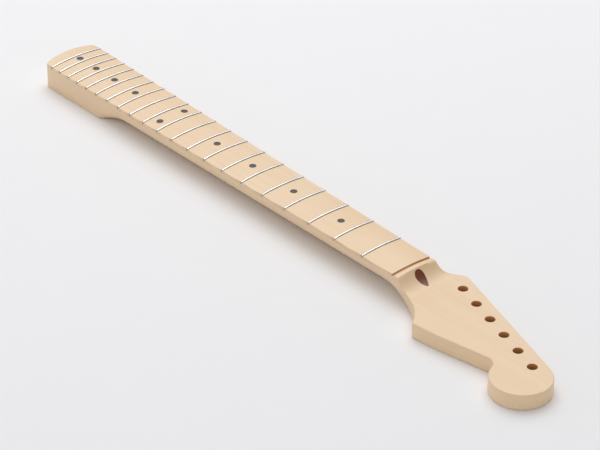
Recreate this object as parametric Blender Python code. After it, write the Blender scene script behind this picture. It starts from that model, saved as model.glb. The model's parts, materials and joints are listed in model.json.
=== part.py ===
"""Bolt-on electric guitar neck: one maple body with its frets, position dots, plug, stripe and truss rod.

All lengths are in metres. While the shapes are worked out, X = 0 is the fretboard's end at the nut,
+X points to the headstock's tip, +Y to the bass side and +Z up from the flat back. At the end an
empty moves the whole neck so that its origin is the middle of the four heel screws.
"""

import math

import bmesh
import bpy
from mathutils import Matrix, Vector

# Fretboard
SCALE_LENGTH = 0.6477
FRETS_PER_OCTAVE = 12
FRET_COUNT = 21
NUT_WIDTH = 0.0424
LAST_FRET_WIDTH = 0.0562
FRETBOARD_RADIUS = 0.18415
FRETBOARD_EDGE_RADIUS = 0.0008

# Heel
HEEL_THICKNESS = 0.0254
HEEL_PAST_LAST_FRET = 0.01346
BUTT_CURVE_RADIUS = 0.100
BUTT_CORNER_RADIUS = 0.0055
HEEL_LENGTH = 0.1099
HEEL_COVE_RADIUS = 0.054

# Shaft: thickness and fullness of the back, at the nut and at the octave fret
THICKNESS_AT_NUT = 0.0210
THICKNESS_AT_OCTAVE = 0.0229
FULLNESS_AT_NUT = 2.02
FULLNESS_AT_OCTAVE = 2.28
CARVE_SOFTNESS = 0.0016

# Nut slot, the land beyond it and the ramp down to the headstock's face
NUT_SLOT_WIDTH = 0.0032
NUT_SLOT_DEPTH = 0.0018
RAMP_TOP_X = 0.0069
RAMP_FOOT_X = 0.0255
HEADSTOCK_THICKNESS = 0.0143

# Back of the headstock, where the shaft spreads into it
HEAD_COVE_START = 0.014
HEAD_COVE_RADIUS = 0.080
HEAD_COVE_SIDE_GAIN = 0.3

# Headstock outline, seen from above
HEADSTOCK_LENGTH = 0.18835
HEADSTOCK_EDGE_RADIUS = 0.0010
BALL_RADIUS = 0.02605
BALL_CENTRE_Y = -0.0305
TUNER_EDGE_ANGLE = math.radians(16.5)
EAR_START_X = 0.0139
EAR_ANGLE = math.radians(43.0)
EAR_HOLLOW_RADIUS = 0.020
EAR_CREST_RADIUS = 0.0087
HORN_START_X = 0.008
HORN_RADIUS = 0.052
HORN_TIP_X = 0.0524
HORN_TIP_RADIUS = 0.0012
TREBLE_BEND_X = 0.071
TREBLE_BEND_RADIUS = 0.150
HORN_EDGE_ANGLE = math.radians(5.5)
TREBLE_EDGE_ANGLE = math.radians(11.9)
NOTCH_RADIUS = 0.010

# Tuner holes
TUNER_COUNT = 6
TUNER_HOLE_DIAMETER = 0.0087
TUNER_SPACING = 0.02425
TUNER_EDGE_DISTANCE = 0.0119
FIRST_TUNER_X = 0.0422
TUNER_HOLE_CHAMFER = 0.0003

# Frets
FRET_CROWN_WIDTH = 0.0021
FRET_CROWN_HEIGHT = 0.0010
FRET_CROWN_SIDE = 0.0002
TANG_THICKNESS = 0.0006
TANG_DEPTH = 0.0017
FRET_END_BEVEL = math.radians(35.0)

# Position dots
SINGLE_DOT_FRETS = (3, 5, 7, 9, 15, 17, 19, 21)
OCTAVE_FRET = 12
FACE_DOT_DIAMETER = 0.00635
FACE_DOT_DEPTH = 0.0016
OCTAVE_DOT_SPREAD = 0.0277
SIDE_DOT_DIAMETER = 0.0020
SIDE_DOT_DEPTH = 0.0025
SIDE_DOT_DROP = 0.0032
OCTAVE_SIDE_DOT_SPREAD = 0.0080

# Truss rod, the walnut stripe behind it and the walnut plug at its headstock end
ROD_DIAMETER = 0.0048
ROD_HEEL_HEIGHT = 0.0127
ROD_MIDDLE_HEIGHT = 0.0100
ROD_MIDDLE_X = -0.230
STRIPE_WIDTH = 0.00635
STRIPE_HEEL_END_FROM_BUTT = 0.076
STRIPE_HEAD_END_X = -0.0290
PLUG_DIAMETER = 0.0094
PLUG_HEIGHT = 0.0194
PLUG_BACK_X = 0.0045
ANCHOR_DIAMETER = 0.0074
ANCHOR_LENGTH = 0.0120
ANCHOR_TO_PLUG = 0.0030
TRUSS_NUT_DIAMETER = 0.0095
TRUSS_NUT_LENGTH = 0.0120
TRUSS_NUT_RECESS = 0.0008
TRUSS_NUT_WALL = 0.0025
CROSS_SLOT_WIDTH = 0.0016
CROSS_SLOT_DEPTH = 0.0028
WASHER_THICKNESS = 0.0012

# Heel screw holes
SCREW_HOLE_DIAMETER = 0.0032
SCREW_HOLE_DEPTH = 0.0180
SCREW_SPACING_X = 0.0508
SCREW_SPACING_Y = 0.0381
FIRST_SCREWS_FROM_BUTT = 0.0135

# Clearances between pieces that touch
FIT = 0.0001
RUNNING_FIT = 0.0003
ROD_FIT = 0.0003
CUT_MARGIN = 0.004

# How finely curves are divided
ARC_STEP = math.radians(8.0)
COVE_STEPS = 8
COVE_SHARE = 0.7
SHAFT_STEPS = 5
RAMP_STEPS = 7
CROWN_COLUMNS = 4
EDGE_STEPS = 1
SIDE_RAYS = 4
CORNER_STEPS = 2
BACK_RAYS = 4
FRET_STEPS = 6
FRET_CROWN_STEPS = 4
FACE_DOT_SIDES = 16
SIDE_DOT_SIDES = 8
HOLE_SIDES = 20
SCREW_HOLE_SIDES = 12
BUTT_STEPS = 5
CHANNEL_END_STEPS = 4
BORE_SIDES = 16
ROD_SIDES = 8
ROD_STEPS = 22
MIN_STATION_STEP = 0.0008
FLAT_ANGLE = math.radians(0.1)
FLATNESS = 1e-7
SHARP_ANGLE = math.radians(30.0)


def fret_x(number):
    """Place of a fret: each one shortens the string by the same ratio."""
    return -SCALE_LENGTH * (1.0 - 2.0 ** (-number / FRETS_PER_OCTAVE))


LAST_FRET_X = fret_x(FRET_COUNT)
OCTAVE_X = fret_x(FRETS_PER_OCTAVE)
BUTT_X = LAST_FRET_X - HEEL_PAST_LAST_FRET
HEEL_COVE_X = BUTT_X + HEEL_LENGTH
HEEL_CENTRE_X = BUTT_X + FIRST_SCREWS_FROM_BUTT + SCREW_SPACING_X / 2.0
RAMP_RADIUS = (
    (RAMP_FOOT_X - RAMP_TOP_X) ** 2 + (HEEL_THICKNESS - HEADSTOCK_THICKNESS) ** 2
) / (2.0 * (HEEL_THICKNESS - HEADSTOCK_THICKNESS))


# Scene, materials and mesh helpers
def clear_scene():
    for item in list(bpy.data.objects):
        bpy.data.objects.remove(item, do_unlink=True)


def material(name, colour, roughness, metallic=0.0):
    made = bpy.data.materials.new(name)
    made.use_nodes = True
    shader = made.node_tree.nodes["Principled BSDF"]
    shader.inputs["Base Color"].default_value = (*colour, 1.0)
    shader.inputs["Roughness"].default_value = roughness
    shader.inputs["Metallic"].default_value = metallic
    return made


def add_object(name, bm, finish=None, place=(0.0, 0.0, 0.0)):
    """Turn a bmesh, drawn around `place`, into an object whose origin is `place`."""
    bmesh.ops.translate(bm, verts=bm.verts, vec=-Vector(place))
    bmesh.ops.recalc_face_normals(bm, faces=bm.faces)
    mesh = bpy.data.meshes.new(name)
    bm.to_mesh(mesh)
    bm.free()
    made = bpy.data.objects.new(name, mesh)
    made.location = place
    bpy.context.scene.collection.objects.link(made)
    if finish:
        mesh.materials.append(finish)
    mesh.shade_smooth()
    mesh.set_sharp_from_angle(angle=SHARP_ANGLE)
    return made


def as_guide(guide):
    """Cutters and guides shape other pieces and are not part of the neck."""
    guide.hide_render = True
    guide.display_type = "WIRE"
    return guide


def cut(target, tool, operation="DIFFERENCE"):
    modifier = target.modifiers.new(tool.name, "BOOLEAN")
    modifier.object = tool
    modifier.operation = operation
    modifier.solver = "EXACT"


def loft(bm, rings):
    """Close a body from rings of points: walls from each ring to the next, and two end faces."""
    first = [bm.verts.new(point) for point in rings[0]]
    bm.faces.new(first)
    count = len(first)
    for ring in rings[1:]:
        after = [bm.verts.new(point) for point in ring]
        for k in range(count):
            bm.faces.new((first[k - 1], first[k], after[k], after[k - 1]))
        first = after
    bm.faces.new(reversed(first))


def turned_on_x(bm, outline, height, sides):
    """Revolve (x, radius) pairs about the line along X at y = 0, z = height."""
    rings = []
    for x, radius in outline:
        ring = []
        for k in range(sides):
            angle = math.tau * (k + 0.5) / sides
            ring.append((x, radius * math.cos(angle), height + radius * math.sin(angle)))
        rings.append(ring)
    loft(bm, rings)


def cylinder(bm, centre, radius, depth, sides, turn=Matrix.Identity(4)):
    bmesh.ops.create_cone(
        bm,
        cap_ends=True,
        segments=sides,
        radius1=radius,
        radius2=radius,
        depth=depth,
        matrix=Matrix.Translation(centre) @ turn,
    )


# Widths, heights and carved back of the neck as functions of place
def half_width(x):
    share = max(0.0, x / LAST_FRET_X)
    return (NUT_WIDTH + (LAST_FRET_WIDTH - NUT_WIDTH) * share) / 2.0


def crown(y):
    """Height of the fretboard, an arc across the neck."""
    return HEEL_THICKNESS - FRETBOARD_RADIUS + math.sqrt(FRETBOARD_RADIUS**2 - y * y)


def ramp(x):
    """Height of the hollow ramp that runs down to the headstock's face."""
    if x <= RAMP_FOOT_X - RAMP_RADIUS:
        return HEADSTOCK_THICKNESS + RAMP_RADIUS
    reach = max(0.0, RAMP_FOOT_X - x)
    return HEADSTOCK_THICKNESS + RAMP_RADIUS - math.sqrt(RAMP_RADIUS**2 - reach * reach)


def top_height(x, y):
    if x < RAMP_TOP_X:
        return crown(y)
    return min(crown(y), ramp(x))


def carve_centre(x):
    """Height where the rounded back starts, just under the fretboard's edge."""
    return crown(half_width(x) - FRETBOARD_EDGE_RADIUS) - FRETBOARD_EDGE_RADIUS


def octave_share(x):
    return max(0.0, x / OCTAVE_X)


def shaft_depth(x):
    """Depth of the back below carve_centre, on the neck's middle line."""
    thickness = THICKNESS_AT_NUT + (THICKNESS_AT_OCTAVE - THICKNESS_AT_NUT) * octave_share(x)
    return carve_centre(x) - (HEEL_THICKNESS - thickness)


def fullness(x):
    return FULLNESS_AT_NUT + (FULLNESS_AT_OCTAVE - FULLNESS_AT_NUT) * octave_share(x)


def quarter_cove(reach, radius):
    reach = min(max(reach, 0.0), radius)
    return radius - math.sqrt(radius * radius - reach * reach)


def spread(x, angle):
    """How far the back swells out of the shaft into the heel or the headstock."""
    heel = quarter_cove(HEEL_COVE_X - x, HEEL_COVE_RADIUS)
    head = quarter_cove(x + HEAD_COVE_START, HEAD_COVE_RADIUS)
    return heel + head * (1.0 + HEAD_COVE_SIDE_GAIN * math.cos(angle) ** 2)


def shaft_reach(x, angle):
    """Distance from the carve's centre to the back, along a ray below the horizontal."""
    power = fullness(x)
    across = (math.cos(angle) / half_width(x)) ** power
    down = (math.sin(angle) / shaft_depth(x)) ** power
    return (across + down) ** (-1.0 / power)


def soft_minimum(a, b, softness):
    if softness <= 0.0:
        return min(a, b)
    overlap = max(softness - abs(a - b), 0.0)
    return min(a, b) - overlap * overlap / (4.0 * softness)


# Outline of the headstock
def arc(centre, radius, start, end):
    steps = max(1, math.ceil(abs(end - start) / ARC_STEP))
    points = []
    for k in range(steps + 1):
        angle = start + (end - start) * k / steps
        points.append((centre[0] + radius * math.cos(angle), centre[1] + radius * math.sin(angle)))
    return points


def rounded_corner(before, corner, after, radius):
    """Arc of the given radius between the two straight edges that meet at a corner."""
    corner = Vector(corner)
    to_before = (Vector(before) - corner).normalized()
    to_after = (Vector(after) - corner).normalized()
    half_angle = to_before.angle(to_after) / 2.0
    centre = corner + (to_before + to_after).normalized() * radius / math.sin(half_angle)
    first = corner + to_before * radius / math.tan(half_angle) - centre
    last = corner + to_after * radius / math.tan(half_angle) - centre
    start = math.atan2(first.y, first.x)
    turn = (math.atan2(last.y, last.x) - start + math.pi) % math.tau - math.pi
    return arc(centre, radius, start, start + turn)


def ball_centre():
    return Vector((HEADSTOCK_LENGTH - BALL_RADIUS, BALL_CENTRE_Y))


def tuner_edge_y(x):
    """Straight bass edge of the headstock, which touches the ball's circle."""
    outward = Vector((math.sin(TUNER_EDGE_ANGLE), math.cos(TUNER_EDGE_ANGLE)))
    touch = ball_centre() + BALL_RADIUS * outward
    return touch.y - (x - touch.x) * math.tan(TUNER_EDGE_ANGLE)


def bass_outline():
    """Bass side from the nut to the tip: hollow, ear, straight tuner edge and ball."""
    side_y = NUT_WIDTH / 2.0
    foot = (EAR_START_X, side_y)
    rise = math.tan(EAR_ANGLE)
    fall = math.tan(TUNER_EDGE_ANGLE)
    crest_x = (tuner_edge_y(0.0) - side_y + EAR_START_X * rise) / (rise + fall)
    crest = (crest_x, tuner_edge_y(crest_x))
    far = (HEADSTOCK_LENGTH, tuner_edge_y(HEADSTOCK_LENGTH))
    points = rounded_corner((0.0, side_y), foot, crest, EAR_HOLLOW_RADIUS)
    points += rounded_corner(foot, crest, far, EAR_CREST_RADIUS)
    points += arc(ball_centre(), BALL_RADIUS, math.pi / 2.0 - TUNER_EDGE_ANGLE, ARC_STEP / 2.0)
    return points


def treble_outline():
    """Treble side from the nut to the tip: horn, long edge, notch and ball."""
    side_y = -NUT_WIDTH / 2.0
    sweep = math.asin((HORN_TIP_X - HORN_START_X) / HORN_RADIUS)
    horn = arc((HORN_START_X, side_y - HORN_RADIUS), HORN_RADIUS, math.pi / 2.0, math.pi / 2.0 - sweep)
    tip = horn[-1]
    bend = (TREBLE_BEND_X, tip[1] + (TREBLE_BEND_X - tip[0]) * math.tan(HORN_EDGE_ANGLE))
    along = Vector((math.cos(TREBLE_EDGE_ANGLE), math.sin(TREBLE_EDGE_ANGLE)))
    outward = Vector((along.y, -along.x))
    # The notch's circle touches the long edge and the ball's circle from outside.
    start = Vector(bend) + outward * NOTCH_RADIUS - ball_centre()
    half = start.dot(along)
    gap = start.length_squared - (BALL_RADIUS + NOTCH_RADIUS) ** 2
    notch_centre = ball_centre() + start + along * (-half - math.sqrt(max(half * half - gap, 0.0)))
    to_ball = ball_centre() - notch_centre
    meet = math.atan2(to_ball.y, to_ball.x)
    tip_round = rounded_corner(horn[-2], tip, bend, HORN_TIP_RADIUS)
    points = horn[:-1] + tip_round
    points += rounded_corner(tip, bend, Vector(bend) + along, TREBLE_BEND_RADIUS)
    points += arc(notch_centre, NOTCH_RADIUS, math.pi / 2.0 + TREBLE_EDGE_ANGLE, meet)
    points += arc(ball_centre(), BALL_RADIUS, meet - math.pi, -ARC_STEP / 2.0)[1:]
    return points


BASS_OUTLINE = bass_outline()
TREBLE_OUTLINE = treble_outline()


def outline_y(points, x):
    """Y of an outline at x; before its first point the side runs on straight."""
    if x <= points[0][0]:
        return math.copysign(half_width(x), points[0][1])
    for (x0, y0), (x1, y1) in zip(points, points[1:]):
        if x <= x1:
            return y0 + (y1 - y0) * (x - x0) / (x1 - x0)
    return points[-1][1]


# Neck body
def section_half(x, width):
    """Half a cross-section as (distance from the middle, height), from top middle to back middle.

    The back is the smaller of the sawn block and the carved shaft, which swells at both ends.
    """
    edge = FRETBOARD_EDGE_RADIUS if x <= RAMP_FOOT_X else HEADSTOCK_EDGE_RADIUS
    edge_height = top_height(x, width - edge)
    wall_top = edge_height - edge
    centre = carve_centre(x)
    step = (NUT_WIDTH / 2.0 - FRETBOARD_EDGE_RADIUS) / CROWN_COLUMNS
    if x <= HORN_TIP_X:
        across = [step * k for k in range(CROWN_COLUMNS)]
    else:
        across = [(width - edge) * k / (CROWN_COLUMNS + 1) for k in range(CROWN_COLUMNS)]
    across.append((across[-1] + width - edge) / 2.0)
    points = [(y, top_height(x, y)) for y in across]
    for k in range(EDGE_STEPS + 1):
        turn = math.pi / 2.0 * (1.0 - k / (EDGE_STEPS + 1))
        points.append((width - edge + edge * math.cos(turn), wall_top + edge * math.sin(turn)))
    corner = []
    radius = HEADSTOCK_EDGE_RADIUS
    for k in range(CORNER_STEPS + 1):
        turn = math.pi / 2.0 * k / CORNER_STEPS
        corner.append((width - radius + radius * math.cos(turn), radius - radius * math.sin(turn)))
    first = math.atan2(centre - wall_top, width)
    corner_angles = [math.atan2(centre - z, y) for y, z in corner]
    last = math.pi / 2.0
    angles = [first + (corner_angles[0] - first) * k / SIDE_RAYS for k in range(SIDE_RAYS)]
    block = [width / math.cos(angle) for angle in angles]
    angles += corner_angles
    block += [math.hypot(y, centre - z) for y, z in corner]
    for k in range(1, BACK_RAYS + 1):
        angle = corner_angles[-1] + (last - corner_angles[-1]) * k / BACK_RAYS
        angles.append(angle)
        block.append(centre / math.sin(angle))
    for angle, limit in zip(angles, block):
        reach = limit
        if x <= HORN_TIP_X:
            swell = spread(x, angle)
            softness = min(CARVE_SOFTNESS, swell / 2.0)
            reach = soft_minimum(limit, shaft_reach(x, angle) + swell, softness)
        points.append((reach * math.cos(angle), centre - reach * math.sin(angle)))
    return points


def section(x):
    """Closed ring of points across the neck at x."""
    bass = outline_y(BASS_OUTLINE, x)
    treble = outline_y(TREBLE_OUTLINE, x)
    middle = 0.0 if x <= HORN_TIP_X else (bass + treble) / 2.0
    right = section_half(x, bass - middle)
    left = section_half(x, middle - treble)
    ring = [(x, middle + y, z) for y, z in right]
    ring += [(x, middle - y, z) for y, z in reversed(left[1:-1])]
    return ring


def neck_stations():
    """Places of the cross-sections: close together where the shape turns."""
    places = [BUTT_X - CUT_MARGIN, BUTT_X + HEEL_LENGTH - HEEL_COVE_RADIUS]
    heel_reach = COVE_SHARE * HEEL_COVE_RADIUS
    places += [HEEL_COVE_X - heel_reach * k / COVE_STEPS for k in range(COVE_STEPS + 1)]
    shaft_end = -HEAD_COVE_START
    places += [HEEL_COVE_X + (shaft_end - HEEL_COVE_X) * k / SHAFT_STEPS for k in range(SHAFT_STEPS + 1)]
    head_reach = COVE_SHARE * HEAD_COVE_RADIUS
    places += [shaft_end + head_reach * k / COVE_STEPS for k in range(1, COVE_STEPS + 1)]
    steepest = math.asin((RAMP_FOOT_X - RAMP_TOP_X) / RAMP_RADIUS)
    for k in range(RAMP_STEPS + 1):
        places.append(RAMP_FOOT_X - RAMP_RADIUS * math.sin(steepest * k / RAMP_STEPS))
    places += [x for x, y in BASS_OUTLINE + TREBLE_OUTLINE]
    kept = [max(places)]
    for x in sorted(places, reverse=True):
        if kept[-1] - x >= MIN_STATION_STEP:
            kept.append(x)
    return kept[::-1]


def warp(face):
    """How far the corners of a face lie from its plane."""
    middle = face.calc_center_median()
    return max(abs((vert.co - middle).dot(face.normal)) for vert in face.verts)


def neck_form():
    bm = bmesh.new()
    loft(bm, [section(x) for x in neck_stations()])
    bmesh.ops.recalc_face_normals(bm, faces=bm.faces)
    bmesh.ops.dissolve_limit(bm, angle_limit=FLAT_ANGLE, verts=bm.verts, edges=bm.edges)
    bmesh.ops.triangulate(bm, faces=[face for face in bm.faces if warp(face) > FLATNESS])
    return bm


def butt_cutter():
    """Everything past the butt, whose end is a shallow arc between two rounded corners."""
    bm = bmesh.new()
    centre_x = BUTT_X + BUTT_CURVE_RADIUS
    side = half_width(BUTT_X)
    inner = BUTT_CURVE_RADIUS - BUTT_CORNER_RADIUS
    corner_y = side - BUTT_CORNER_RADIUS
    corner_x = centre_x - math.sqrt(inner * inner - corner_y * corner_y)
    lean = math.atan2(corner_y, centre_x - corner_x)
    far_x = BUTT_X - 2.0 * CUT_MARGIN
    far_y = side + CUT_MARGIN
    half = [(far_x, far_y), (corner_x, far_y)]
    half += arc((corner_x, corner_y), BUTT_CORNER_RADIUS, math.pi / 2.0, math.pi - lean)
    for k in range(1, BUTT_STEPS):
        angle = math.pi - lean * (1.0 - k / BUTT_STEPS)
        half.append(
            (centre_x + BUTT_CURVE_RADIUS * math.cos(angle), BUTT_CURVE_RADIUS * math.sin(angle))
        )
    plan = half + [(x, -y) for x, y in reversed(half)]
    lower = [bm.verts.new((x, y, -CUT_MARGIN)) for x, y in plan]
    floor = bm.faces.new(lower)
    raised = bmesh.ops.extrude_face_region(bm, geom=[floor])
    tops = [item for item in raised["geom"] if isinstance(item, bmesh.types.BMVert)]
    bmesh.ops.translate(bm, verts=tops, vec=(0.0, 0.0, HEEL_THICKNESS + 2.0 * CUT_MARGIN))
    return bm


def across_the_board(bm, profile, half_length, steps):
    """Sweep (x, height above the fretboard) pairs across the neck, along the fretboard's arc."""
    half_angle = math.asin(half_length / FRETBOARD_RADIUS)
    axis_height = HEEL_THICKNESS - FRETBOARD_RADIUS
    rings = []
    for k in range(steps + 1):
        angle = half_angle * (2.0 * k / steps - 1.0)
        ring = []
        for x, height in profile:
            radius = FRETBOARD_RADIUS + height
            ring.append((x, radius * math.sin(angle), axis_height + radius * math.cos(angle)))
        rings.append(ring)
    loft(bm, rings)


def slot_profile(start, end, depth):
    return [(start, -depth), (end, -depth), (end, CUT_MARGIN), (start, CUT_MARGIN)]


def fret_slots():
    bm = bmesh.new()
    half = TANG_THICKNESS / 2.0 + FIT
    for number in range(1, FRET_COUNT + 1):
        x = fret_x(number)
        profile = slot_profile(x - half, x + half, TANG_DEPTH + FIT)
        across_the_board(bm, profile, half_width(x) + CUT_MARGIN, FRET_STEPS)
    return bm


def nut_slot():
    bm = bmesh.new()
    profile = slot_profile(0.0, NUT_SLOT_WIDTH, NUT_SLOT_DEPTH)
    across_the_board(bm, profile, NUT_WIDTH / 2.0 + CUT_MARGIN, 2 * FRET_STEPS)
    return bm


def tuner_places():
    """Holes in a line that keeps the same distance from the straight bass edge."""
    places = []
    for k in range(TUNER_COUNT):
        x = FIRST_TUNER_X + k * TUNER_SPACING * math.cos(TUNER_EDGE_ANGLE)
        places.append((x, tuner_edge_y(x) - TUNER_EDGE_DISTANCE / math.cos(TUNER_EDGE_ANGLE)))
    return places


def tuner_holes():
    bm = bmesh.new()
    radius = TUNER_HOLE_DIAMETER / 2.0
    wide = radius + TUNER_HOLE_CHAMFER
    top = HEADSTOCK_THICKNESS
    outline = [
        (radius, -CUT_MARGIN),
        (radius, top - TUNER_HOLE_CHAMFER),
        (wide + CUT_MARGIN, top + CUT_MARGIN),
    ]
    for x, y in tuner_places():
        rings = []
        for reach, z in outline:
            ring = []
            for k in range(HOLE_SIDES):
                angle = math.tau * k / HOLE_SIDES
                ring.append((x + reach * math.cos(angle), y + reach * math.sin(angle), z))
            rings.append(ring)
        loft(bm, rings)
    return bm


def screw_holes():
    bm = bmesh.new()
    depth = SCREW_HOLE_DEPTH + CUT_MARGIN
    for x_side in (-0.5, 0.5):
        for y_side in (-0.5, 0.5):
            centre = (
                HEEL_CENTRE_X + x_side * SCREW_SPACING_X,
                y_side * SCREW_SPACING_Y,
                SCREW_HOLE_DEPTH - depth / 2.0,
            )
            cylinder(bm, centre, SCREW_HOLE_DIAMETER / 2.0, depth, SCREW_HOLE_SIDES)
    return bm


# Position dots
def between_frets(number):
    return (fret_x(number) + fret_x(number - 1)) / 2.0


def face_dot_places():
    places = [(between_frets(number), 0.0) for number in SINGLE_DOT_FRETS]
    for side in (-0.5, 0.5):
        places.append((between_frets(OCTAVE_FRET), side * OCTAVE_DOT_SPREAD))
    return sorted(places, reverse=True)


def side_dot_places():
    places = [between_frets(number) for number in SINGLE_DOT_FRETS]
    for side in (-0.5, 0.5):
        places.append(between_frets(OCTAVE_FRET) + side * OCTAVE_SIDE_DOT_SPREAD)
    return sorted(places, reverse=True)


def side_dot_height(x):
    return crown(half_width(x)) - SIDE_DOT_DROP


def bass_side_y(x, z):
    """Y of the neck's bass side at a height just under the fretboard's edge."""
    width = half_width(x)
    drop = (carve_centre(x) - z) / shaft_depth(x)
    rounded = width * (1.0 - drop ** fullness(x)) ** (1.0 / fullness(x))
    return min(width, rounded + quarter_cove(HEEL_COVE_X - x, HEEL_COVE_RADIUS))


def face_dot(bm, x, y, clearance, lift):
    """Disc whose top follows the fretboard, raised by lift."""
    radius = FACE_DOT_DIAMETER / 2.0 + clearance
    floor = crown(abs(y) + radius) - FACE_DOT_DEPTH - clearance
    centre = (x, y, (floor + HEEL_THICKNESS) / 2.0)
    first = len(bm.verts)
    cylinder(bm, centre, radius, HEEL_THICKNESS - floor, FACE_DOT_SIDES)
    bm.verts.ensure_lookup_table()
    for vert in bm.verts[first:]:
        if vert.co.z > centre[2]:
            vert.co.z = crown(vert.co.y) + lift


def side_dot(bm, x, clearance, lift):
    z = side_dot_height(x)
    outer = bass_side_y(x, z)
    depth = SIDE_DOT_DEPTH + clearance + lift
    centre = (x, outer + lift - depth / 2.0, z)
    radius = SIDE_DOT_DIAMETER / 2.0 + clearance
    cylinder(bm, centre, radius, depth, SIDE_DOT_SIDES, Matrix.Rotation(math.pi / 2.0, 4, "X"))


def dot_pockets():
    bm = bmesh.new()
    for x, y in face_dot_places():
        face_dot(bm, x, y, FIT, CUT_MARGIN)
    for x in side_dot_places():
        side_dot(bm, x, FIT, CUT_MARGIN)
    return bm


# Truss rod and the spaces that hold it
def eased(x, x0, z0, x1, z1):
    """Height that leaves one end level, and reaches the other level too."""
    share = min(max((x - x0) / (x1 - x0), 0.0), 1.0)
    return z0 + (z1 - z0) * (1.0 - math.cos(math.pi * share)) / 2.0


ANCHOR_FRONT_X = PLUG_BACK_X - ANCHOR_TO_PLUG
ANCHOR_BACK_X = ANCHOR_FRONT_X - ANCHOR_LENGTH
TRUSS_NUT_X = BUTT_X + TRUSS_NUT_RECESS
WASHER_X = TRUSS_NUT_X + TRUSS_NUT_LENGTH + RUNNING_FIT
WASHER_SEAT_X = WASHER_X + WASHER_THICKNESS + FIT
STRIPE_HEEL_END_X = BUTT_X + STRIPE_HEEL_END_FROM_BUTT


def rod_height(x):
    """The rod dips toward the back at its middle, and lies level in the bores past its channel."""
    if x > ROD_MIDDLE_X:
        level_from = STRIPE_HEAD_END_X - STRIPE_WIDTH / 2.0
        return eased(x, ROD_MIDDLE_X, ROD_MIDDLE_HEIGHT, level_from, PLUG_HEIGHT)
    level_from = STRIPE_HEEL_END_X + STRIPE_WIDTH / 2.0
    return eased(x, ROD_MIDDLE_X, ROD_MIDDLE_HEIGHT, level_from, ROD_HEEL_HEIGHT)


def channel(clearance, roof):
    """Slot from the back with round ends; roof gives its height along the neck."""
    bm = bmesh.new()
    radius = STRIPE_WIDTH / 2.0
    places = []
    for k in range(CHANNEL_END_STEPS):
        angle = math.pi / 2.0 * (k + 0.5) / CHANNEL_END_STEPS
        places.append((radius * (1.0 - math.cos(angle)), radius * math.sin(angle)))
    low = STRIPE_HEEL_END_X
    high = STRIPE_HEAD_END_X
    stations = [(low + x - clearance, half + clearance) for x, half in places]
    for k in range(1, ROD_STEPS):
        x = low + radius + (high - low - 2.0 * radius) * k / ROD_STEPS
        stations.append((x, radius + clearance))
    stations += [(high - x + clearance, half + clearance) for x, half in reversed(places)]
    rings = []
    for x, half in stations:
        top = roof(x)
        rings.append([(x, -half, -CUT_MARGIN), (x, half, -CUT_MARGIN), (x, half, top), (x, -half, top)])
    loft(bm, rings)
    return bm


def truss_bores():
    """Stepped holes along the rod: from the butt, and from the ramp behind the plug."""
    bm = bmesh.new()
    rod_hole = ROD_DIAMETER / 2.0 + FIT
    seat = TRUSS_NUT_DIAMETER / 2.0 + RUNNING_FIT
    channel_reach = STRIPE_WIDTH / 2.0
    heel = [
        (BUTT_X - CUT_MARGIN, seat),
        (WASHER_SEAT_X, seat),
        (WASHER_SEAT_X, rod_hole),
        (STRIPE_HEEL_END_X + channel_reach, rod_hole),
    ]
    turned_on_x(bm, heel, ROD_HEEL_HEIGHT, BORE_SIDES)
    anchor_hole = ANCHOR_DIAMETER / 2.0 + FIT
    head = [
        (STRIPE_HEAD_END_X - channel_reach, rod_hole),
        (ANCHOR_BACK_X - FIT, rod_hole),
        (ANCHOR_BACK_X - FIT, anchor_hole),
        (PLUG_BACK_X - FIT, anchor_hole),
        (PLUG_BACK_X - FIT, PLUG_DIAMETER / 2.0 + FIT),
        (RAMP_FOOT_X + CUT_MARGIN, PLUG_DIAMETER / 2.0 + FIT),
    ]
    turned_on_x(bm, head, PLUG_HEIGHT, BORE_SIDES)
    return bm


def truss_rod():
    bm = bmesh.new()
    start = TRUSS_NUT_X + TRUSS_NUT_WALL + CROSS_SLOT_DEPTH
    end = ANCHOR_FRONT_X - TRUSS_NUT_WALL
    rings = []
    for k in range(ROD_STEPS + 1):
        x = start + (end - start) * k / ROD_STEPS
        ring = []
        for side in range(ROD_SIDES):
            angle = math.tau * (side + 0.5) / ROD_SIDES
            radius = ROD_DIAMETER / 2.0
            ring.append((x, radius * math.cos(angle), rod_height(x) + radius * math.sin(angle)))
        rings.append(ring)
    loft(bm, rings)
    return bm


def socket_body(front, back, mouth, radius, bore, height):
    """Round body from front to back, with a blind hole that opens at back and stops at mouth."""
    bm = bmesh.new()
    turned_on_x(bm, [(front, radius), (back, radius), (back, bore), (mouth, bore)], height, BORE_SIDES)
    return bm


def cross_slot():
    """Crossed grooves for the screwdriver, across the truss nut's outer end."""
    bm = bmesh.new()
    half = CROSS_SLOT_WIDTH / 2.0
    reach = TRUSS_NUT_DIAMETER / 2.0 + CUT_MARGIN
    plan = []
    for quarter in range(4):
        turn = Matrix.Rotation(math.pi / 2.0 * quarter, 2)
        plan += [turn @ Vector(corner) for corner in ((reach, -half), (reach, half), (half, half))]
    rings = []
    for x in (TRUSS_NUT_X - CUT_MARGIN, TRUSS_NUT_X + CROSS_SLOT_DEPTH):
        rings.append([(x, y, ROD_HEEL_HEIGHT + z) for y, z in plan])
    loft(bm, rings)
    return bm


# The pieces
def make_neck(maple):
    neck = add_object("neck", neck_form(), maple)
    tools = {
        "butt_cutter": butt_cutter(),
        "fret_slot_cutter": fret_slots(),
        "nut_slot_cutter": nut_slot(),
        "tuner_hole_cutter": tuner_holes(),
        "screw_hole_cutter": screw_holes(),
        "dot_pocket_cutter": dot_pockets(),
        "channel_cutter": channel(FIT, lambda x: rod_height(x) + ROD_DIAMETER / 2.0 + ROD_FIT),
        "truss_bore_cutter": truss_bores(),
    }
    for name, shape in tools.items():
        cut(neck, as_guide(add_object(name, shape)))
    return neck


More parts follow.
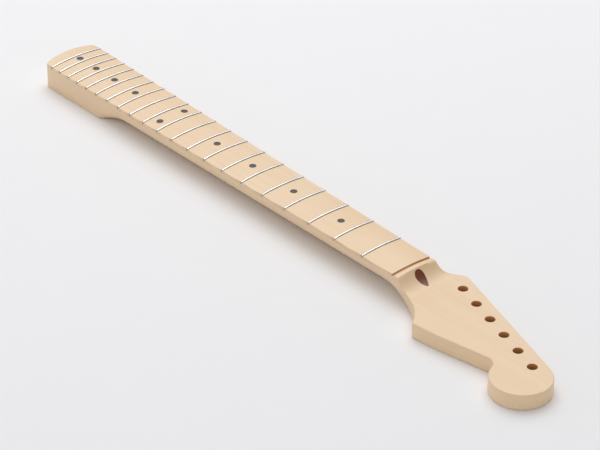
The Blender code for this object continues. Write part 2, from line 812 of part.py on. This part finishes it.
def make_frets(nickel):
    """Bars of T section, bent to the fretboard's arc and bevelled at both ends."""
    half = FRET_CROWN_WIDTH / 2.0
    tang = TANG_THICKNESS / 2.0
    side_top = FIT + FRET_CROWN_SIDE
    profile = [(-tang, -TANG_DEPTH), (tang, -TANG_DEPTH), (tang, FIT), (half, FIT)]
    rise = FRET_CROWN_HEIGHT - side_top
    for k in range(FRET_CROWN_STEPS + 1):
        angle = math.pi * k / FRET_CROWN_STEPS
        profile.append((half * math.cos(angle), side_top + rise * math.sin(angle)))
    profile += [(-half, FIT), (-tang, FIT)]
    for number in range(1, FRET_COUNT + 1):
        x = fret_x(number)
        width = half_width(x)
        bm = bmesh.new()
        placed = [(x + dx, height) for dx, height in profile]
        across_the_board(bm, placed, width + FRET_CROWN_HEIGHT, FRET_STEPS)
        foot = crown(width) + FIT
        for side in (-1.0, 1.0):
            bevel = (0.0, side * math.cos(FRET_END_BEVEL), math.sin(FRET_END_BEVEL))
            trim(bm, (x, side * (width - FIT), foot), bevel)
            trim(bm, (x, side * (width - FIT), foot), (0.0, side, 0.0))
        add_object(f"fret_{number:02d}", bm, nickel)


def trim(bm, point, normal):
    """Cut off what lies beyond a plane and close the cut."""
    geometry = bm.verts[:] + bm.edges[:] + bm.faces[:]
    result = bmesh.ops.bisect_plane(
        bm, geom=geometry, dist=FLATNESS, plane_co=point, plane_no=normal, clear_outer=True
    )
    rim = [item for item in result["geom_cut"] if isinstance(item, bmesh.types.BMEdge)]
    bmesh.ops.edgenet_fill(bm, edges=rim)


def make_face_dots(black):
    for number, (x, y) in enumerate(face_dot_places(), 1):
        bm = bmesh.new()
        face_dot(bm, x, y, 0.0, 0.0)
        add_object(f"face_dot_{number:02d}", bm, black)


def make_side_dots(black):
    for number, x in enumerate(side_dot_places(), 1):
        bm = bmesh.new()
        side_dot(bm, x, 0.0, 0.0)
        add_object(f"side_dot_{number:02d}", bm, black)


def make_stripe(walnut, form):
    """Walnut strip that closes the rod's channel, cut flush with the carved back."""
    stripe = channel(0.0, lambda x: rod_height(x) - ROD_DIAMETER / 2.0 - ROD_FIT)
    cut(add_object("back_stripe", stripe, walnut), form, "INTERSECT")


def make_plug(walnut, form):
    """Walnut dowel in the rod's hole, cut flush with the ramp."""
    bm = bmesh.new()
    outline = [(PLUG_BACK_X, PLUG_DIAMETER / 2.0), (RAMP_FOOT_X + CUT_MARGIN, PLUG_DIAMETER / 2.0)]
    turned_on_x(bm, outline, PLUG_HEIGHT, HOLE_SIDES)
    cut(add_object("headstock_plug", bm, walnut), form, "INTERSECT")


def make_truss_parts(steel, zinc):
    add_object("truss_rod", truss_rod(), steel)
    bore = ROD_DIAMETER / 2.0 + FIT
    anchor_mouth = ANCHOR_FRONT_X - TRUSS_NUT_WALL + FIT
    anchor = socket_body(
        ANCHOR_FRONT_X, ANCHOR_BACK_X, anchor_mouth, ANCHOR_DIAMETER / 2.0, bore, PLUG_HEIGHT
    )
    add_object("truss_rod_anchor", anchor, zinc)
    nut_back = TRUSS_NUT_X + TRUSS_NUT_LENGTH
    nut_mouth = TRUSS_NUT_X + CROSS_SLOT_DEPTH + TRUSS_NUT_WALL - RUNNING_FIT
    bore = ROD_DIAMETER / 2.0 + RUNNING_FIT
    nut = socket_body(TRUSS_NUT_X, nut_back, nut_mouth, TRUSS_NUT_DIAMETER / 2.0, bore, ROD_HEEL_HEIGHT)
    truss_nut = add_object("truss_nut", nut, zinc, (TRUSS_NUT_X, 0.0, ROD_HEEL_HEIGHT))
    cut(truss_nut, as_guide(add_object("cross_slot_cutter", cross_slot())))
    washer = bmesh.new()
    reach = TRUSS_NUT_DIAMETER / 2.0
    hole = ROD_DIAMETER / 2.0 + FIT
    washer_end = WASHER_X + WASHER_THICKNESS
    washer_ring(washer, WASHER_X, washer_end, hole, reach)
    add_object("truss_washer", washer, steel)


def washer_ring(bm, front, back, hole, reach):
    """Flat ring around the rod."""
    corners = [(front, hole), (front, reach), (back, reach), (back, hole)]
    rings = []
    for k in range(BORE_SIDES):
        angle = math.tau * k / BORE_SIDES
        across = math.cos(angle)
        up = math.sin(angle)
        rings.append([(x, r * across, ROD_HEEL_HEIGHT + r * up) for x, r in corners])
    loops = [[bm.verts.new(point) for point in ring] for ring in rings]
    for before, after in zip(loops, loops[1:] + loops[:1]):
        for k in range(len(corners)):
            bm.faces.new((before[k - 1], before[k], after[k], after[k - 1]))


def set_origin():
    """Move the neck so that its origin is the middle of the heel screws, on the flat back."""
    frame = bpy.data.objects.new("neck_frame", None)
    frame.location = (-HEEL_CENTRE_X, 0.0, 0.0)
    bpy.context.scene.collection.objects.link(frame)
    for item in bpy.data.objects:
        if item is not frame:
            item.parent = frame


def build():
    clear_scene()
    maple = material("clear_maple", (0.78, 0.58, 0.36), 0.35)
    walnut = material("walnut", (0.19, 0.06, 0.02), 0.40)
    nickel = material("nickel_silver", (0.72, 0.71, 0.68), 0.22, 1.0)
    black = material("black_plastic", (0.045, 0.047, 0.045), 0.35)
    steel = material("plain_steel", (0.45, 0.45, 0.46), 0.40, 1.0)
    zinc = material("zinc_plated_steel", (0.60, 0.61, 0.62), 0.30, 1.0)
    form = as_guide(add_object("neck_form_guide", neck_form()))
    make_neck(maple)
    make_frets(nickel)
    make_face_dots(black)
    make_side_dots(black)
    make_stripe(walnut, form)
    make_plug(walnut, form)
    make_truss_parts(steel, zinc)
    set_origin()


build()
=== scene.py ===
import json
import math

import bmesh
import bpy
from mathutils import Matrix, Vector

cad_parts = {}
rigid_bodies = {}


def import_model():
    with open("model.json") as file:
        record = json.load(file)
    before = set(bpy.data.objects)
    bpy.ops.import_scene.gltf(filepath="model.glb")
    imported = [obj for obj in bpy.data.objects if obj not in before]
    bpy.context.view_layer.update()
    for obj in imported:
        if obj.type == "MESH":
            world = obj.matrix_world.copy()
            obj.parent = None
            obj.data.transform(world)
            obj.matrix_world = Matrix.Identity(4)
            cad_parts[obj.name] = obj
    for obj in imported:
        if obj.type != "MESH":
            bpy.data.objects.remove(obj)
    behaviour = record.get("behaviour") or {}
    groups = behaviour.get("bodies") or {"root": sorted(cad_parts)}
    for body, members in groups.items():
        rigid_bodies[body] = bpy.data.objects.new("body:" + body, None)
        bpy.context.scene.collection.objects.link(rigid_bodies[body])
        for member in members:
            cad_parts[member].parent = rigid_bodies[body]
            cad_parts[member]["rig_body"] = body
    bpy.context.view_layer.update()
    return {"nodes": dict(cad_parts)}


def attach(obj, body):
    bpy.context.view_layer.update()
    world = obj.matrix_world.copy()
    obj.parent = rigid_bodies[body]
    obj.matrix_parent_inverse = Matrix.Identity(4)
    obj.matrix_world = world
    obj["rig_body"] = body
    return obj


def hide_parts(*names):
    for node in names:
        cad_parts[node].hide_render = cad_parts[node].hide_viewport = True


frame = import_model()


# Maple neck: one plank of hard maple, carved to a rounded back with a square heel and a flat
# headstock, its fretboard face crowned and slotted. It is sealed with a thin clear lacquer
# that leaves the fine straight grain in sight.
MAPLE_PALE = (0.910, 0.680, 0.450, 1.0)
MAPLE_WARM = (0.875, 0.630, 0.390, 1.0)
MAPLE_STREAK = (0.770, 0.520, 0.300, 1.0)
LACQUER = 0.45
LACQUER_ROUGHNESS = 0.32


def new_finish(name):
    made = bpy.data.materials.new(name)
    made.use_nodes = True
    return made, made.node_tree, made.node_tree.nodes["Principled BSDF"]


def place_on_piece(tree, repeats):
    """The piece's own coordinates, squeezed along each axis by how closely its marks repeat."""
    coordinates = tree.nodes.new("ShaderNodeTexCoord")
    mapping = tree.nodes.new("ShaderNodeMapping")
    mapping.inputs["Scale"].default_value = repeats
    tree.links.new(coordinates.outputs["Object"], mapping.inputs["Vector"])
    return mapping.outputs["Vector"]


def marks(tree, repeats, detail, twist=0.0):
    """An uneven pattern of marks that is fixed to the piece."""
    noise = tree.nodes.new("ShaderNodeTexNoise")
    noise.inputs["Scale"].default_value = 1.0
    noise.inputs["Detail"].default_value = detail
    noise.inputs["Distortion"].default_value = twist
    tree.links.new(place_on_piece(tree, repeats), noise.inputs["Vector"])
    return noise.outputs["Fac"]


def between(tree, value, run, result):
    """Map a run of a pattern's values to a run of another quantity."""
    spread = tree.nodes.new("ShaderNodeMapRange")
    spread.inputs["From Min"].default_value, spread.inputs["From Max"].default_value = run
    spread.inputs["To Min"].default_value, spread.inputs["To Max"].default_value = result
    tree.links.new(value, spread.inputs["Value"])
    return spread.outputs["Result"]


# The colour mix keeps its share, its two colours and its result in these of its sockets.
MIX_SHARE, MIX_FIRST, MIX_SECOND, MIX_RESULT = 0, 6, 7, 2


def blend_colours(tree, share, first, second):
    """Mix two colours; each may be a fixed colour or the result of an earlier mix."""
    mix = tree.nodes.new("ShaderNodeMix")
    mix.data_type = "RGBA"
    tree.links.new(share, mix.inputs[MIX_SHARE])
    for place, colour in ((MIX_FIRST, first), (MIX_SECOND, second)):
        if isinstance(colour, tuple):
            mix.inputs[place].default_value = colour
        else:
            tree.links.new(colour, mix.inputs[place])
    return mix.outputs[MIX_RESULT]


RELIEF_STRENGTH = 0.6


def raise_marks(tree, shader, height, depth):
    """Give a pattern of marks a slight relief."""
    bump = tree.nodes.new("ShaderNodeBump")
    bump.inputs["Strength"].default_value = RELIEF_STRENGTH
    bump.inputs["Distance"].default_value = depth
    tree.links.new(height, bump.inputs["Height"])
    tree.links.new(bump.outputs["Normal"], shader.inputs["Normal"])


# How many times each mark repeats in a metre: along the neck, across it and through it.
TONE_DRIFT = (5.0, 34.0, 34.0)
GROWTH_LINES = (3.0, 420.0, 420.0)
PORES = (55.0, 2600.0, 2600.0)
SHEEN_PATCHES = (40.0, 160.0, 160.0)

# Which run of a pattern's values makes the mark, and how strongly the mark then shows.
MIDDLE_RUN = (0.3, 0.7)
LINE_RUN = (0.52, 0.72)
PORE_RUN = (0.60, 0.76)
FULL_STRENGTH = (0.0, 1.0)
LINE_STRENGTH = (0.0, 0.28)
PORE_STRENGTH = (0.0, 0.35)
PORE_DEPTH = 0.00004
WOOD_ROUGHNESS = (0.42, 0.54)


def wood(name, pale, warm, streak, lacquer):
    """Straight-grained wood: broad tone drift, growth lines and fine pores, all along the neck."""
    made, tree, shader = new_finish(name)
    drift_marks = marks(tree, TONE_DRIFT, detail=3.0, twist=0.6)
    line_marks = marks(tree, GROWTH_LINES, detail=3.0, twist=0.3)
    pore_marks = marks(tree, PORES, detail=2.0)
    sheen_marks = marks(tree, SHEEN_PATCHES, detail=4.0)
    drift = between(tree, drift_marks, MIDDLE_RUN, FULL_STRENGTH)
    lines = between(tree, line_marks, LINE_RUN, LINE_STRENGTH)
    pores = between(tree, pore_marks, PORE_RUN, PORE_STRENGTH)
    sheen = between(tree, sheen_marks, MIDDLE_RUN, WOOD_ROUGHNESS)
    tone = blend_colours(tree, drift, pale, warm)
    tone = blend_colours(tree, lines, tone, streak)
    tone = blend_colours(tree, pores, tone, streak)
    tree.links.new(tone, shader.inputs["Base Color"])
    tree.links.new(sheen, shader.inputs["Roughness"])
    shader.inputs["Coat Weight"].default_value = lacquer
    shader.inputs["Coat Roughness"].default_value = LACQUER_ROUGHNESS
    raise_marks(tree, shader, pore_marks, PORE_DEPTH)
    return made


# The hollow behind the heel runs a little further along the real neck than along the solid.
HOLLOWED_NODES = ("neck", "back_stripe")
HOLLOW_SHIFT = 0.0034
HOLLOW_START = 0.0275
HOLLOW_EASE = 0.0030
HOLLOW_END = 0.071
HOLLOW_FADE = 0.125
HOLLOW_TOP = 0.0185


def smooth_share(value, start, end):
    """How far a value has come from start to end, from 0 to 1, easing in and out."""
    share = min(max((value - start) / (end - start), 0.0), 1.0)
    return share * share * (3.0 - 2.0 * share)


def carve_heel(bm):
    """Carry the hollow behind the heel a little further along the neck, below the fretboard."""
    for vert in bm.verts:
        if vert.co.z < HOLLOW_TOP:
            started = smooth_share(vert.co.x, HOLLOW_START, HOLLOW_START + HOLLOW_EASE)
            ended = smooth_share(vert.co.x, HOLLOW_END, HOLLOW_FADE)
            vert.co.x += HOLLOW_SHIFT * started * (1.0 - ended)


# Corners closer together than MERGE_DISTANCE are joined, and edges that bend by less than
# SOFT_CREASE are shaded smooth.
MERGE_DISTANCE = 0.000002
SOFT_CREASE = math.radians(50.0)


def finished_copy(node, name, finish):
    """The carved solid with its corners joined up and its curves shaded smooth."""
    bm = bmesh.new()
    bm.from_mesh(frame["nodes"][node].data)
    bmesh.ops.remove_doubles(bm, verts=bm.verts, dist=MERGE_DISTANCE)
    if node in HOLLOWED_NODES:
        carve_heel(bm)
    bmesh.ops.recalc_face_normals(bm, faces=bm.faces)
    mesh = bpy.data.meshes.new(name)
    bm.to_mesh(mesh)
    bm.free()
    mesh.shade_smooth()
    mesh.set_sharp_from_angle(angle=SOFT_CREASE)
    mesh.materials.append(finish)
    piece = bpy.data.objects.new(name, mesh)
    bpy.context.scene.collection.objects.link(piece)
    weighted = piece.modifiers.new("even_shading", "WEIGHTED_NORMAL")
    weighted.keep_sharp = True
    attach(piece, frame["nodes"][node]["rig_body"])
    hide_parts(node)
    return piece


maple = wood("lacquered_maple", MAPLE_PALE, MAPLE_WARM, MAPLE_STREAK, LACQUER)
neck = finished_copy("neck", "maple_neck", maple)

# The bored tuner holes and the sawn nut slot drink in the lacquer, so they have no coat. Their
# colour is painted shade: darker and more orange, standing in for the shadow deep in the holes and
# the slot, tinted by light bounced off the maple around them.
BORE_SHADE_PALE = (0.620, 0.300, 0.110, 1.0)
BORE_SHADE_WARM = (0.540, 0.240, 0.080, 1.0)
BORE_SHADE_STREAK = (0.360, 0.140, 0.045, 1.0)
NO_LACQUER = 0.0
TUNER_HOLE_COUNT = 6
FIRST_TUNER_HOLE = Vector((0.471898, 0.019833))
TUNER_HOLE_STEP = Vector((0.0232512, -0.0068874))
TUNER_HOLE_REACH = 0.0046
BORE_TILT = 0.3
NUT_SLOT_X = 0.4296976
NUT_SLOT_REACH = 0.0004
NUT_SLOT_FLOOR = 0.0215
NUT_SLOT_FACING = 0.7
tuner_holes = [FIRST_TUNER_HOLE + TUNER_HOLE_STEP * number for number in range(TUNER_HOLE_COUNT)]
painted_shade_maple = wood("painted_shade_maple", BORE_SHADE_PALE, BORE_SHADE_WARM, BORE_SHADE_STREAK, NO_LACQUER)
neck.data.materials.append(painted_shade_maple)
for face in neck.data.polygons:
    to_nearest_hole = min((face.center.xy - hole).length for hole in tuner_holes)
    bored = to_nearest_hole < TUNER_HOLE_REACH and abs(face.normal.z) < BORE_TILT
    beside_slot = abs(face.center.x - NUT_SLOT_X) < NUT_SLOT_REACH
    sawn = beside_slot and face.normal.x > NUT_SLOT_FACING and face.center.z > NUT_SLOT_FLOOR
    # Bored and sawn faces take the maple finish with the painted shade.
    if bored or sawn:
        face.material_index = 1

# The crowned fretboard, the hollow ramp and the flat faces take their shading from the true
# form, so that light runs over them in one sweep. Each FACING is the cosine of how far a facet
# may turn from a form and still belong to it. KEEP_SMOOTH leaves a corner the shading it has.
FRETBOARD_RADIUS = 0.18415
HEEL_THICKNESS = 0.0254
HEADSTOCK_THICKNESS = 0.0143
RAMP_FOOT_X = 0.4551976
RAMP_RADIUS = 0.0211339
FORM_TOLERANCE = 0.00009
CROWN_FACING = 0.999
RAMP_FACING = 0.98
LEVEL_FACING = 0.9999
SIDE_FACING = 0.9995
BROAD_WALL_AREA = 0.00001
BROAD_WALL_TILT = 0.0001
KEEP_SMOOTH = (0.0, 0.0, 0.0)
crown_axis_z = HEEL_THICKNESS - FRETBOARD_RADIUS
ramp_axis_z = HEADSTOCK_THICKNESS + RAMP_RADIUS


def true_facing(face, point):
    """Which way the true form faces at a facet's corner; the carved back stays as it is."""
    from_crown = Vector((0.0, point.y, point.z - crown_axis_z))
    to_ramp = Vector((RAMP_FOOT_X - point.x, 0.0, ramp_axis_z - point.z))
    on_crown = abs(from_crown.length - FRETBOARD_RADIUS) < FORM_TOLERANCE
    on_ramp = abs(to_ramp.length - RAMP_RADIUS) < FORM_TOLERANCE
    if on_crown and face.normal.dot(from_crown.normalized()) > CROWN_FACING:
        return from_crown.normalized()
    if on_ramp and face.normal.dot(to_ramp.normalized()) > RAMP_FACING:
        return to_ramp.normalized()
    level = abs(face.normal.z) > LEVEL_FACING
    side = abs(face.normal.y) > SIDE_FACING
    broad_wall = face.area > BROAD_WALL_AREA and abs(face.normal.z) < BROAD_WALL_TILT
    return face.normal.copy() if level or side or broad_wall else KEEP_SMOOTH


neck.modifiers.remove(neck.modifiers["even_shading"])
shading = [KEEP_SMOOTH] * len(neck.data.loops)
for face in neck.data.polygons:
    for loop_index in face.loop_indices:
        corner = neck.data.vertices[neck.data.loops[loop_index].vertex_index]
        shading[loop_index] = true_facing(face, corner.co)
neck.data.normals_split_custom_set(shading)


# Frets: lengths of nickel-silver wire of T section, bent to the fretboard's crown, pressed into
# their slots and filed at both ends. The crowns are polished, with fine marks along each wire.
FRET_COUNT = 21
NICKEL_BRIGHT = (0.76, 0.75, 0.72, 1.0)
NICKEL_DULL = (0.62, 0.61, 0.58, 1.0)
NICKEL_ROUGHNESS = (0.14, 0.24)
METAL_HAZE = (260.0, 90.0, 260.0)
METAL_HAZE_RUN = (0.35, 0.7)
POLISHING_MARKS = (2400.0, 300.0, 2400.0)
FINE_MARK_DEPTH = 0.00001


def worn_metal(name, bright, dull, roughness):
    """Bright metal whose shade and polish wander a little along its surface."""
    made, tree, shader = new_finish(name)
    haze = marks(tree, METAL_HAZE, detail=5.0)
    polishing = marks(tree, POLISHING_MARKS, detail=2.0)
    dullness = between(tree, haze, METAL_HAZE_RUN, FULL_STRENGTH)
    tree.links.new(blend_colours(tree, dullness, bright, dull), shader.inputs["Base Color"])
    tree.links.new(between(tree, haze, MIDDLE_RUN, roughness), shader.inputs["Roughness"])
    shader.inputs["Metallic"].default_value = 1.0
    raise_marks(tree, shader, polishing, FINE_MARK_DEPTH)
    return made


nickel = worn_metal("polished_nickel", NICKEL_BRIGHT, NICKEL_DULL, NICKEL_ROUGHNESS)
for number in range(1, FRET_COUNT + 1):
    finished_copy(f"fret_{number:02d}", f"fret_wire_{number:02d}", nickel)


# Position dots: black plastic discs on the fretboard's face and short black rods in its bass
# side, glued in and sanded flush, so that they carry the same faint scratches as the board.
DOT_COUNT = 10
DOT_BLACK = (0.040, 0.043, 0.041, 1.0)
DOT_SCUFFED = (0.068, 0.070, 0.066, 1.0)
DOT_ROUGHNESS = (0.30, 0.45)
DOT_SCUFFS = (700.0, 2200.0, 700.0)
DOT_SCUFF_RUN = (0.4, 0.7)


def sanded_plastic():
    """Black plastic with the fine scratches of sanding, which are a little paler."""
    made, tree, shader = new_finish("black_dot_plastic")
    scuffs = marks(tree, DOT_SCUFFS, detail=4.0)
    share = between(tree, scuffs, DOT_SCUFF_RUN, FULL_STRENGTH)
    tree.links.new(blend_colours(tree, share, DOT_BLACK, DOT_SCUFFED), shader.inputs["Base Color"])
    tree.links.new(between(tree, scuffs, MIDDLE_RUN, DOT_ROUGHNESS), shader.inputs["Roughness"])
    raise_marks(tree, shader, scuffs, FINE_MARK_DEPTH)
    return made


black = sanded_plastic()
for number in range(1, DOT_COUNT + 1):
    finished_copy(f"face_dot_{number:02d}", f"inlaid_dot_{number:02d}", black)
    finished_copy(f"side_dot_{number:02d}", f"edge_dot_{number:02d}", black)


# Walnut plug and stripe: a dowel that closes the rod's hole at the ramp and a strip that closes
# its channel along the back, both glued in and carved flush with the maple.
WALNUT_PALE = (0.205, 0.052, 0.014, 1.0)
WALNUT_WARM = (0.150, 0.036, 0.009, 1.0)
WALNUT_STREAK = (0.070, 0.016, 0.005, 1.0)
PLUG_RADIUS = 0.0048
PLUG_HEIGHT = 0.0194
PLUG_BACK_X = 0.4342
PLUG_SIDES = 64
SANDER_HALF_LENGTH = 0.02
SANDER_SIDES = 256


def round_bar(name, start, end, radius, sides):
    """A round bar between two points, capped at both ends."""
    bm = bmesh.new()
    length = (end - start).length
    bmesh.ops.create_cone(
        bm, cap_ends=True, segments=sides, radius1=radius, radius2=radius, depth=length
    )
    turn = (end - start).to_track_quat("Z", "Y")
    bmesh.ops.rotate(bm, verts=bm.verts, cent=(0.0, 0.0, 0.0), matrix=turn.to_matrix())
    bmesh.ops.translate(bm, verts=bm.verts, vec=(start + end) / 2.0)
    mesh = bpy.data.meshes.new(name)
    bm.to_mesh(mesh)
    bm.free()
    bar = bpy.data.objects.new(name, mesh)
    bpy.context.scene.collection.objects.link(bar)
    return bar


walnut = wood("lacquered_walnut", WALNUT_PALE, WALNUT_WARM, WALNUT_STREAK, LACQUER)
plug_back = Vector((PLUG_BACK_X, 0.0, PLUG_HEIGHT))
plug_front = Vector((RAMP_FOOT_X, 0.0, PLUG_HEIGHT))
plug = round_bar("walnut_plug", plug_back, plug_front, PLUG_RADIUS, PLUG_SIDES)
sander_start = Vector((RAMP_FOOT_X, -SANDER_HALF_LENGTH, ramp_axis_z))
sander_end = Vector((RAMP_FOOT_X, SANDER_HALF_LENGTH, ramp_axis_z))
sander = round_bar("ramp_sander", sander_start, sander_end, RAMP_RADIUS, SANDER_SIDES)
sander.hide_render = True
sander.hide_viewport = True
flush = plug.modifiers.new("sanded_flush", "BOOLEAN")
flush.operation = "DIFFERENCE"
flush.solver = "EXACT"
flush.object = sander
plug.data.materials.append(walnut)
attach(plug, "neck_assembly")
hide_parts("headstock_plug")
finished_copy("back_stripe", "walnut_stripe", walnut)


# Truss rod: a steel rod bent along its channel, held by an anchor behind the plug and pulled by
# a slotted round nut that bears on a washer in the heel's end.
STEEL_BRIGHT = (0.46, 0.46, 0.47, 1.0)
STEEL_DULL = (0.34, 0.33, 0.33, 1.0)
STEEL_ROUGHNESS = (0.30, 0.48)
ZINC_BRIGHT = (0.66, 0.67, 0.68, 1.0)
ZINC_DULL = (0.52, 0.53, 0.54, 1.0)
ZINC_ROUGHNESS = (0.22, 0.36)
plain_steel = worn_metal("plain_steel", STEEL_BRIGHT, STEEL_DULL, STEEL_ROUGHNESS)
zinc = worn_metal("zinc_plating", ZINC_BRIGHT, ZINC_DULL, ZINC_ROUGHNESS)
finished_copy("truss_rod", "steel_rod", plain_steel)
finished_copy("truss_washer", "steel_washer", plain_steel)
finished_copy("truss_rod_anchor", "rod_anchor", zinc)
finished_copy("truss_nut", "slotted_nut", zinc)


# Floor: a wide pale sheet of paper that the neck lies on, heel and headstock flat against it.
# It lies a hair lower than they do, so that no two faces coincide.
FLOOR_SIZE = 16.0
FLOOR_PLACE = (0.0, 0.0, -0.00005)
FLOOR_FACING = (0.0, 0.0, 1.0)
PAPER_PALE = (0.925, 0.920, 0.925, 1.0)
PAPER_PALEST = (0.940, 0.935, 0.940, 1.0)
PAPER_CLOUDS = (30.0, 30.0, 30.0)
PAPER_ROUGHNESS = 0.9


def square_sheet(name, size, facing, place, finish):
    """A flat square sheet that faces a given way."""
    shape = bmesh.new()
    bmesh.ops.create_grid(shape, x_segments=1, y_segments=1, size=size / 2.0)
    turn = Vector(facing).to_track_quat("Z", "Y").to_matrix()
    bmesh.ops.rotate(shape, verts=shape.verts, cent=(0.0, 0.0, 0.0), matrix=turn)
    bmesh.ops.translate(shape, verts=shape.verts, vec=place)
    mesh = bpy.data.meshes.new(name)
    shape.to_mesh(mesh)
    shape.free()
    mesh.materials.append(finish)
    sheet = bpy.data.objects.new(name, mesh)
    bpy.context.scene.collection.objects.link(sheet)
    return sheet


paper, paper_tree, paper_shader = new_finish("pale_paper")
clouds = marks(paper_tree, PAPER_CLOUDS, detail=4.0)
paper_tone = blend_colours(paper_tree, clouds, PAPER_PALE, PAPER_PALEST)
paper_tree.links.new(paper_tone, paper_shader.inputs["Base Color"])
paper_shader.inputs["Roughness"].default_value = PAPER_ROUGHNESS
floor = square_sheet("floor", FLOOR_SIZE, FLOOR_FACING, FLOOR_PLACE, paper)


# Light: a very broad soft box overhead, toward the heel and the bass side, in an even pale room,
# and a dark card whose reflection draws the shaded side of the frets.
NECK_MIDDLE = Vector((0.28, 0.0, 0.0))
SOFT_BOX_PLACE = Vector((-0.90, 1.05, 2.90))
SOFT_BOX_SIZE = 3.2
SOFT_BOX_POWER = 60.0
CARD_PLACE = Vector((1.75, 1.35, 1.35))
CARD_SIZE = 1.8
CARD_BLACK = (0.02, 0.02, 0.02, 1.0)
ROOM_COLOUR = (0.97, 0.98, 1.0, 1.0)
ROOM_STRENGTH = 0.60
lamp = bpy.data.lights.new("overhead_soft_box", "AREA")
lamp.shape = "SQUARE"
lamp.size = SOFT_BOX_SIZE
lamp.energy = SOFT_BOX_POWER
soft_box = bpy.data.objects.new("overhead_soft_box", lamp)
soft_box.location = SOFT_BOX_PLACE
soft_box.rotation_euler = (NECK_MIDDLE - SOFT_BOX_PLACE).to_track_quat("-Z", "Y").to_euler()
bpy.context.scene.collection.objects.link(soft_box)

card_finish, _, card_shader = new_finish("dark_card")
card_shader.inputs["Base Color"].default_value = CARD_BLACK
card = square_sheet("dark_card", CARD_SIZE, CARD_PLACE - NECK_MIDDLE, CARD_PLACE, card_finish)

room = bpy.data.worlds.new("pale_room")
room.use_nodes = True
room_glow = room.node_tree.nodes["Background"]
room_glow.inputs["Color"].default_value = ROOM_COLOUR
room_glow.inputs["Strength"].default_value = ROOM_STRENGTH
bpy.context.scene.world = room

# The default view transform greys the pale paper and maple, so the plain one is used.
bpy.context.scene.view_settings.view_transform = "Standard"


# Camera: on the headstock's side of the treble edge, about 2.6 m from the neck's middle, with a
# long lens. Its place and turn are those found from the photograph.
CAMERA_PLACE = (1.943324, -1.434958, 1.383168)
CAMERA_TURN = (math.radians(57.6261), math.radians(-0.5156), math.radians(49.3670))
LENS_LENGTH = 181.51
SENSOR_WIDTH = 36.0
lens = bpy.data.cameras.new("camera")
lens.sensor_width = SENSOR_WIDTH
lens.lens = LENS_LENGTH
camera = bpy.data.objects.new("camera", lens)
camera.location = CAMERA_PLACE
camera.rotation_euler = CAMERA_TURN
bpy.context.scene.collection.objects.link(camera)
bpy.context.scene.camera = camera
